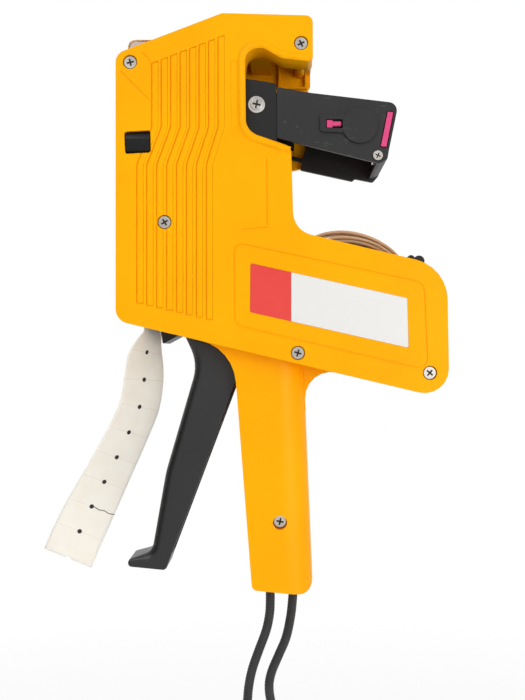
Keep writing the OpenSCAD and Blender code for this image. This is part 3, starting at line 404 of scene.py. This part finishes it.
CORD_D = 4.0
cord_route = np.array([
    (-6.5, -40), (-6.5, -46), (-6.4, -52), (-6.7, -58.5), (-8.2, -65.8), (-11.4, -74.5), (-14.2, -82.6),
    (-15.8, -90.5), (-16.5, -99), (-17.6, -110), (-20.4, -124), (-24.2, -140), (-26.4, -155), (-25.4, -168),
    (-20.6, -178.6), (-12.4, -184.6), (-3, -184.8), (5, -179.4), (9.6, -169), (10.4, -156), (8, -141),
    (3.4, -125), (-1.8, -111), (-5.4, -99.5), (-6.9, -91), (-6, -84.4), (-2.8, -76.6), (0.4, -69),
    (2.3, -60.5), (3.2, -53), (3.6, -46), (3.6, -40),
])
CORD_RINGS, CORD_SIDES = 1201, 40
BRAID_PITCH = 5.2
BRAID_STRANDS = 8
# Shares of the cord's radius: its core, and a strand's height on it
BRAID_CORE, BRAID_RIDGE = 0.86, 0.13
# Shares of a strand's height: its rise where it crosses over, and the most it reaches
BRAID_OVER, RIDGE_TOP = 0.25, 1.08
cord_line = spline(cord_route, CORD_RINGS)


def braided_tube(line, diameter):
    """A tube round a line in the XZ plane. Two sets of strands wind it, one each way, and pass over and under
    each other: the radius follows the higher of two rounded ridges, each lifted where its strand is on top."""
    t = unit(np.gradient(line, axis=0))
    across = np.stack([t[:, 1], np.zeros(len(t)), -t[:, 0]], axis=1)
    s = np.linspace(0, length_of(line), len(line))[:, None]
    a = np.linspace(0, TAU, CORD_SIDES, endpoint=False)[None, :]
    one = BRAID_STRANDS / 2 * (a - TAU * s / BRAID_PITCH / 2)
    two = BRAID_STRANDS / 2 * (a + TAU * s / BRAID_PITCH / 2)
    over = BRAID_OVER * np.cos(one + two)
    ridge = np.maximum(np.abs(np.cos(one)) + over, np.abs(np.cos(two)) - over)
    r = diameter / 2 * (BRAID_CORE + BRAID_RIDGE * np.clip(ridge, 0, RIDGE_TOP))
    ring = across[:, None, :] * np.cos(a)[..., None] + np.array([0, 1, 0]) * np.sin(a)[..., None]
    centre = np.stack([line[:, 0], np.zeros(len(line)), line[:, 1]], axis=1)
    points = (centre[:, None, :] + ring * r[..., None]).reshape(-1, 3)
    uv = np.stack(np.broadcast_arrays(a / TAU, s / BRAID_PITCH), axis=-1).reshape(-1, 2)
    return points, grid_quads(len(line), CORD_SIDES, True), uv, centre


points, quads, uv, centre = braided_tube(cord_line, CORD_D)
wrist_cord = mesh_piece("wrist_cord_braid", points * MM, quads, uv)
cord_braid = finish_of("cord_braid", srgb(18, 18, 19), srgb(38, 38, 39), 0.66,
                       (FIBRES, {"Fibre": 2600.0}), 0.05, Sheen_Weight=0.25)
wrist_cord.data.materials.append(cord_braid)
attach(wrist_cord, "casing")
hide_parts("wrist_cord")


# Paper: the label roll, the web from it to the nose and the backing strip that hangs from the body


LABEL_W, LABEL_PITCH = 22.0, 12.0
NOTCH_HALF, NOTCH_REACH = 1.6, 4
ALONG_Y = np.array([[0.0, 1.0, 0.0]])


def strip_solid(name, centre, across, thick, cols=2, notch=0.0):
    """A strip of label paper with two faces and closed ends. centre is an (n, 3) line, across the unit direction
    of its width, at each point or the same for all. U runs over the width and V along the strip in label pitches.
    notch is the depth of a small V in the middle of the last edge: the points near it slide back along the strip,
    the more the nearer they are, from NOTCH_REACH times its depth on."""
    across = np.broadcast_to(across, centre.shape)
    t = unit(np.gradient(centre, axis=0))
    normal = unit(np.cross(t, across))
    side = np.linspace(-1, 1, cols)
    place = np.concatenate([side, side[::-1]])
    lift = np.concatenate([np.ones(cols), -np.ones(cols)])
    points = (centre[:, None, :] + across[:, None, :] * (place * LABEL_W / 2)[None, :, None]
              + normal[:, None, :] * (lift * thick / 2)[None, :, None])
    s = np.concatenate([[0], np.cumsum(np.linalg.norm(np.diff(centre, axis=0), axis=1))])[:, None]
    if notch:
        middle = np.clip(1 - np.abs(place) * LABEL_W / 2 / NOTCH_HALF, 0, 1)
        near_end = np.clip(1 - (s[-1] - s) / (NOTCH_REACH * notch), 0, 1)
        points = points - t[:, None, :] * (notch * near_end * middle)[..., None]
    uv = np.stack(np.broadcast_arrays((place + 1) / 2, s / LABEL_PITCH), axis=-1).reshape(-1, 2)
    k = np.arange(cols - 1)
    cap = np.stack([k, 2 * cols - 1 - k, 2 * cols - 2 - k, k + 1], axis=-1)
    last = (len(centre) - 1) * 2 * cols
    quads = np.vstack([grid_quads(len(centre), 2 * cols, True)[:, ::-1], cap[:, ::-1], cap + last])
    return mesh_piece(name, points.reshape(-1, 3) * MM, quads, uv)


ROLL = np.array([28.0, 76.0])
GUIDE, GUIDE_R = np.array([-1.0, 102.5]), 3.85
NOSE = np.array([-54.4, 187.2])
WEB_T, TURN_T, STRIP_T = 0.22, 0.3, 0.16
# Sprung turns: their first angle, end and step in degrees, and where the last turn starts to run off
LOOSE_FROM, LOOSE_TO, LOOSE_STEP, RUN_OFF_FROM = -815, 122, 4.0, 60
# Radius in millimetres, its growth for each turn, at all angles and at the top, and its bulge and run-off
LOOSE_R, TURN_GROWS, TOP_GROWS, BULGE, RUN_OFF = 24.95, 0.75, 0.9, 1.9, 1.5
BULGE_AT = 125


def flat_line(xz, y=0.0):
    """Points of the side view as points in space."""
    return np.stack([xz[:, 0], np.full(len(xz), y), xz[:, 1]], axis=1)


def round_at(centre, radius, start, end, count):
    """An arc in the side view; angles in degrees."""
    a = np.radians(np.linspace(start, end, count))
    return centre + np.stack([np.cos(a), np.sin(a)], axis=1) * np.reshape(radius, (-1, 1))


def loose_turns():
    """The roll's last turns, which have sprung open. The radius grows evenly with the turns, and at the top by more:
    by the square of half of one plus the sine. It bulges towards the guide roller by the sixth power of a cosine,
    and the last turn runs off to it by the power 1.5 of the way that it has gone."""
    a = np.arange(LOOSE_FROM, LOOSE_TO, LOOSE_STEP)
    n = (a - LOOSE_FROM) / 360
    top = ((1 + np.sin(np.radians(a))) / 2) ** 2
    leaving = np.clip((a - RUN_OFF_FROM) / (a[-1] - RUN_OFF_FROM), 0, 1) ** 1.5
    bulge = np.clip(np.cos(np.radians(a - BULGE_AT)), 0, None) ** 6
    r = LOOSE_R + TURN_GROWS * n + TOP_GROWS * n * top + BULGE * bulge + RUN_OFF * leaving
    return round_at(ROLL, r, a[0], a[-1], len(a))


# The web: off the roll, round the guide roller, up to the nose and over it, down the front and out below
CLIMB_FROM, CLIMB_SHORT = np.array([-4.03, 100.74]), 1.6
BEND, BEND_R = np.array([-56.0, 184.6]), 2.6
climb = unit(NOSE - CLIMB_FROM)
web_line = np.vstack([
    loose_turns(),
    round_at(GUIDE, GUIDE_R, -62, -149.8, 12),
    NOSE - climb * CLIMB_SHORT,
    round_at(BEND, BEND_R, 30, 90, 6),
    [(-62.5, 187.2), (-64.6, 187.0), (-65.7, 186.2), (-66.4, 184.6), (-66.2, 160), (-65.9, 92), (-65.82, 82),
     (-65.6, 76), (-64.8, 73.4), (-62.6, 71.2), (-58.9, 68.6)],
])
WEB_ROWS = 900
web = strip_solid("label_web_paper", flat_line(evenly(web_line, WEB_ROWS)), ALONG_Y, WEB_T)

# The roll itself: many tight turns of the same strip, drawn as one spiral
ROLL_TURNS, ROLL_IN, ROLL_OUT = 22, 13.85, 24.3
ROLL_START, ROWS_A_TURN = 100, 72
radii = np.linspace(ROLL_IN, ROLL_OUT, ROLL_TURNS * ROWS_A_TURN + 1)
spiral = round_at(ROLL, radii, ROLL_START, ROLL_START - 360 * ROLL_TURNS, len(radii))
roll = strip_solid("label_roll_turns", flat_line(spiral), ALONG_Y, TURN_T)

# Hanging strip: route in the side view and the angle that its width is turned from Y
strip_route = np.array([
    (-58.4, 67.9, 6), (-57.6, 63.2, 13), (-59.2, 58, 24), (-60.6, 52, 36), (-61.2, 43, 42), (-63, 32, 44),
    (-67.8, 20.3, 46), (-74.8, 6, 52), (-80.4, -4.9, 60), (-84.8, -13.6, 68), (-90, -24.4, 77), (-94.3, -34.4, 86),
])
STRIP_ROWS, STRIP_COLS, NOTCH_DEPTH = 180, 15, 1.2
strip = spline(strip_route, STRIP_ROWS)
heading = unit(np.gradient(strip[:, :2], axis=0))
twist = np.radians(strip[:, 2:])
strip_across = np.hstack([-heading[:, 1:] * np.sin(twist), np.cos(twist), heading[:, :1] * np.sin(twist)])
backing = strip_solid("backing_strip_paper", flat_line(strip), strip_across, STRIP_T, STRIP_COLS, NOTCH_DEPTH)


# Marks, wear and painted shade over the finishes


def overlay(mat, mask, colour):
    """Lays a colour over a material's own where the mask is 1. Inputs 6 and 7 and output 2 of the mix node are
    its colours."""
    tree = mat.node_tree
    shader = tree.nodes["Principled BSDF"]
    under = shader.inputs["Base Color"].links[0].from_socket
    mix = tree.nodes.new("ShaderNodeMix")
    mix.data_type = "RGBA"
    tree.links.new(mask, mix.inputs[0])
    tree.links.new(under, mix.inputs[6])
    mix.inputs[7].default_value = colour
    tree.links.new(mix.outputs[2], shader.inputs["Base Color"])


def scuff(mat, colour, strength):
    """Lays faint scuffs over a finish."""
    use = mat.node_tree.nodes.new("ShaderNodeGroup")
    use.node_tree = SCUFFS
    overlay(mat, maths(mat.node_tree, "MULTIPLY", use.outputs["Mask"], strength), colour)


def strip_uv(mat):
    """The two coordinates of a paper strip: U over its width, V along it in label pitches."""
    tree = mat.node_tree
    split = tree.nodes.new("ShaderNodeSeparateXYZ")
    coords = tree.nodes.new("ShaderNodeUVMap")
    coords.uv_map = "along"
    tree.links.new(coords.outputs[0], split.inputs[0])
    return split.outputs["X"], split.outputs["Y"]


def sum_of_squares(tree, a, b):
    """The squares of two sockets, added."""
    return maths(tree, "ADD", maths(tree, "MULTIPLY", a, a), maths(tree, "MULTIPLY", b, b))


def object_axis(mat, axis):
    """One coordinate of the object's own space, in millimetres."""
    tree = mat.node_tree
    split = tree.nodes.new("ShaderNodeSeparateXYZ")
    tree.links.new(tree.nodes.new("ShaderNodeTexCoord").outputs["Object"], split.inputs[0])
    return maths(tree, "MULTIPLY", split.outputs[axis], 1 / MM)


# Marks on the backing: places in label pitches, sizes in millimetres
FIRST_DOT = 0.39
LAST_DOT = 9
TORN_AT = 7
DOT_R = 1.0
CUT_HALF, CUT_SHADE = 0.14, 0.22
TEAR_HALF, TEAR_WAVE, TEAR_WANDER = 0.2, 1.3, 0.22


def label_marks(mat):
    """Backing paper: a black dot at the end of each label's place, the faint cut of the die through it,
    and one cut torn open to the edge."""
    tree = mat.node_tree
    u, v = strip_uv(mat)
    x = maths(tree, "MULTIPLY", maths(tree, "SUBTRACT", u, 0.5), LABEL_W)
    place = maths(tree, "ADD", v, FIRST_DOT)
    y = maths(tree, "MULTIPLY", maths(tree, "SUBTRACT", maths(tree, "FRACT", place), 0.5), LABEL_PITCH)
    cut = maths(tree, "LESS_THAN", maths(tree, "ABSOLUTE", y), CUT_HALF)
    overlay(mat, maths(tree, "MULTIPLY", cut, CUT_SHADE), srgb(186, 178, 160))
    wander = maths(tree, "MULTIPLY", maths(tree, "SINE", maths(tree, "MULTIPLY", x, TEAR_WAVE)), TEAR_WANDER)
    torn = maths(tree, "LESS_THAN", maths(tree, "ABSOLUTE", maths(tree, "ADD", y, wander)), TEAR_HALF)
    torn = maths(tree, "MULTIPLY", torn, maths(tree, "GREATER_THAN", x, 0.0))
    torn = maths(tree, "MULTIPLY", torn, maths(tree, "COMPARE", maths(tree, "FLOOR", place), TORN_AT))
    overlay(mat, torn, srgb(52, 44, 38))
    dot = maths(tree, "LESS_THAN", maths(tree, "SQRT", sum_of_squares(tree, x, y)), DOT_R)
    overlay(mat, maths(tree, "MULTIPLY", dot, maths(tree, "LESS_THAN", place, LAST_DOT)), srgb(22, 20, 20))


EDGE_U = 0.497


def brown_edges(mat, colour):
    """The cut edges of gummed paper, where the gum shows: the sides of the strip, at U 0 and 1."""
    tree = mat.node_tree
    from_middle = maths(tree, "ABSOLUTE", maths(tree, "SUBTRACT", strip_uv(mat)[0], 0.5))
    overlay(mat, maths(tree, "GREATER_THAN", from_middle, EDGE_U), colour)


strip_paper = finish_of("strip_paper", srgb(247, 236, 214), srgb(251, 242, 224), 0.7, (FIBRES, {}), 0.01,
                        Specular_IOR_Level=0.2, Subsurface_Weight=0.5, Subsurface_Radius=(1, 1, 1),
                        Subsurface_Scale=0.002)
label_marks(strip_paper)
web_paper = finish_of("web_paper", srgb(236, 208, 178), srgb(246, 224, 200), 0.7, (FIBRES, {}), 0.01,
                      Specular_IOR_Level=0.2)
brown_edges(web_paper, srgb(232, 194, 148))
PAPER = (
    (web, "label_web", "casing", web_paper, "label_paper"),
    (backing, "backing_strip", "casing", strip_paper, "label_paper"),
    (roll, "label_roll", "roll", kraft, "roll_paper"),
)
for piece, node_name, body, mat, slot in PAPER:
    piece.data.materials.append(mat)
    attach(piece, body)
    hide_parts(node_name)

# The nameplate is a red block and an off-white block, both bare
PLATE_SPLIT = 2.6
white_block = maths(red_film.node_tree, "GREATER_THAN", object_axis(red_film, "X"), PLATE_SPLIT)
overlay(red_film, white_block, srgb(226, 225, 222))


def highest(tree, masks):
    """The greatest of a list of sockets."""
    total = masks[0]
    for mask in masks[1:]:
        total = maths(tree, "MAXIMUM", total, mask)
    return total


RECESS_FROM, RECESS_TO = 0.25, 1.1


def painted_recess_shade(mat, faces, spots=()):
    """Painted shade in the cross of a screw whose head lies at one of these depths along Y, where the recess would
    fall in shade: dark between RECESS_FROM and
    RECESS_TO further in. spots, as (x, z, reach), keep it to the middle of screws that have a flange."""
    tree = mat.node_tree
    x, y, z = (object_axis(mat, axis) for axis in "XYZ")
    mask = highest(tree, [maths(tree, "MULTIPLY", maths(tree, "GREATER_THAN", y, face + RECESS_FROM),
                                maths(tree, "LESS_THAN", y, face + RECESS_TO)) for face in faces])
    if spots:
        near = []
        for at_x, at_z, reach in spots:
            square = sum_of_squares(tree, maths(tree, "SUBTRACT", x, at_x), maths(tree, "SUBTRACT", z, at_z))
            near.append(maths(tree, "LESS_THAN", square, reach**2))
        mask = maths(tree, "MULTIPLY", mask, highest(tree, near))
    # Painted shade: a dark brown-grey laid over the metal in the screw's cross recess
    overlay(mat, mask, srgb(58, 52, 46))


CASING_FACES = (-23.2, -13.2)
HEAD_FACES, HEAD_SCREWS = (-21.3,), ((-11.8, 157.5, 1.9), (38.4, 136.4, 1.4))
scuff(charcoal, srgb(118, 118, 120), 0.09)
# Painted shade in the cross recesses of the casing screws and of the head's flanged screws
painted_recess_shade(screw_plate, CASING_FACES)
painted_recess_shade(nickel, HEAD_FACES, HEAD_SCREWS)


# Carried-over CAD nodes: finish, softened edges and smooth arcs


WELD_M = 1e-6
FLAT_DEG, SHARP_DEG = 0.05, 32
BEVEL_STEPS = 2


def soften(name, mat, width):
    """Gives a CAD node its finish. Its loose triangles are welded, flat ones joined, and edges sharper than
    SHARP_DEG are rounded by a bevel of this width in millimetres, or left as they are at width 0."""
    obj = nodes[name]
    obj.data.materials.clear()
    obj.data.materials.append(mat)
    obj.data.polygons.foreach_set("use_smooth", np.ones(len(obj.data.polygons), dtype=bool))
    weld = obj.modifiers.new("weld", "WELD")
    weld.merge_threshold = WELD_M
    flat = obj.modifiers.new("flat", "DECIMATE")
    flat.decimate_type = "DISSOLVE"
    flat.angle_limit = np.radians(FLAT_DEG)
    if width:
        bevel = obj.modifiers.new("edge", "BEVEL")
        bevel.width = width * MM
        bevel.segments = BEVEL_STEPS
        bevel.limit_method = "ANGLE"
        bevel.angle_limit = np.radians(SHARP_DEG)
        bevel.use_clamp_overlap = True
        bevel.harden_normals = True
    normals = obj.modifiers.new("normals", "WEIGHTED_NORMAL")
    normals.keep_sharp = True


# Each finish with its nodes and the width of their bevels
SOFT = (
    (yellow, {"left_casing": 0.5, "right_casing": 0.5, "front_cover": 0.4, "ink_holder": 0.2}),
    (lever_black, {"trigger": 0.3}),
    (charcoal, {"head_frame": 0.4, "selector": 0.3}),
    (black, {"print_arm": 0.5, "strip_guide": 0.3, "roll_brake": 0.4, "feed_wheel": 0.15, "roll_spool": 0.2,
             "platen": 0.2}),
    (gloss_black, {"cover_latch": 0.4}),
    (nylon, {"trigger_sector": 0.1, "feed_pinion": 0.1, "band_wheels": 0.1, "guide_roller": 0.2}),
    (pink, {"selector_bar": 0.2, "lock_slide": 0.2}),
    (nose_grey, {"nose_guide": 0.2}),
    (steel, {"hinge_pin": 0.1, "trigger_pin": 0.1, "arm_pin": 0.1, "pawl_pin": 0.1, "guide_pin": 0.1, "brake_pin": 0.1,
             "pull_rod": 0.1, "feed_shaft": 0.1, "feed_pawl": 0.1, "latch_spring": 0, "trigger_spring": 0}),
    (nickel, {"head_screw": 0.15, "bracket_screw": 0.15}),
    (screw_plate, {"casing_screws": 0.15}),
    (rubber, {"print_bands": 0.1}),
    (felt, {"ink_roller": 0.2}),
    (board, {"roll_core": 0.1}),
    (red_film, {"nameplate": 0.05}),
    (cord_braid, {"cord_knot": 0}),
)
for mat, widths in SOFT:
    for node_name, width in widths.items():
        soften(node_name, mat, width)

bpy.context.view_layer.update()
